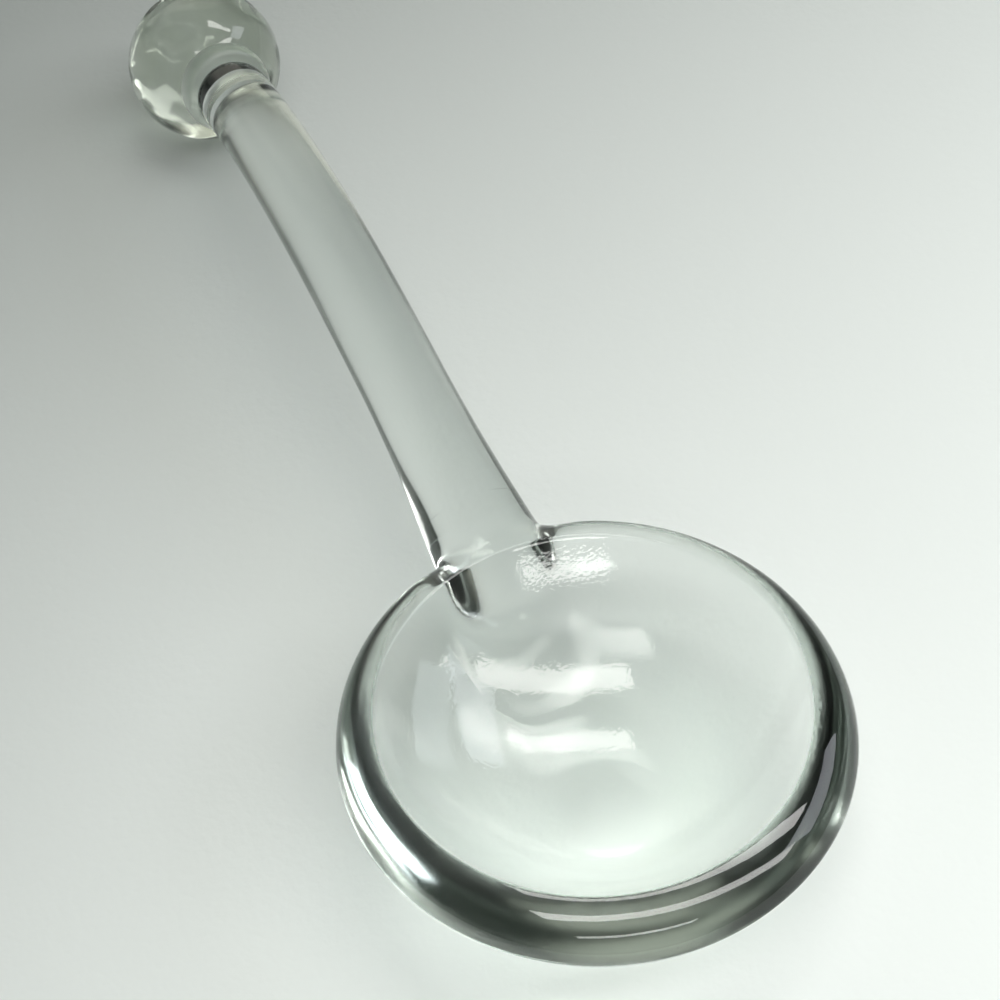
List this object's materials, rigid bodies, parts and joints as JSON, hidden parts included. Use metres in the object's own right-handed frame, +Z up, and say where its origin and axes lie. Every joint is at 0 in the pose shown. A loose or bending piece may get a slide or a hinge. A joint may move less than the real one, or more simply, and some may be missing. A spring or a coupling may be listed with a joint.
{
  "type": "condiment ladle",
  "caption": "Small clear glass ladle: a thick round bowl with a rounded rim, an arched rod handle and a solid ball at its end, for serving sauces and mayonnaise.",
  "frame": {"origin": "centre of the bowl's flat base, on the table that the ladle lies on", "axes": "+Z up, +Y from the bowl along the handle to the ball, +X across the handle"},
  "size_m": [0.05, 0.1471, 0.0215],
  "materials": {
    "clear_glass": "fire polished, faintly green-grey where it is thick"
  },
  "bodies": {
    "root": {"bowl": "clear_glass", "handle_stem": "clear_glass", "collar_ring": "clear_glass", "end_ball": "clear_glass"}
  },
  "joints": []
}
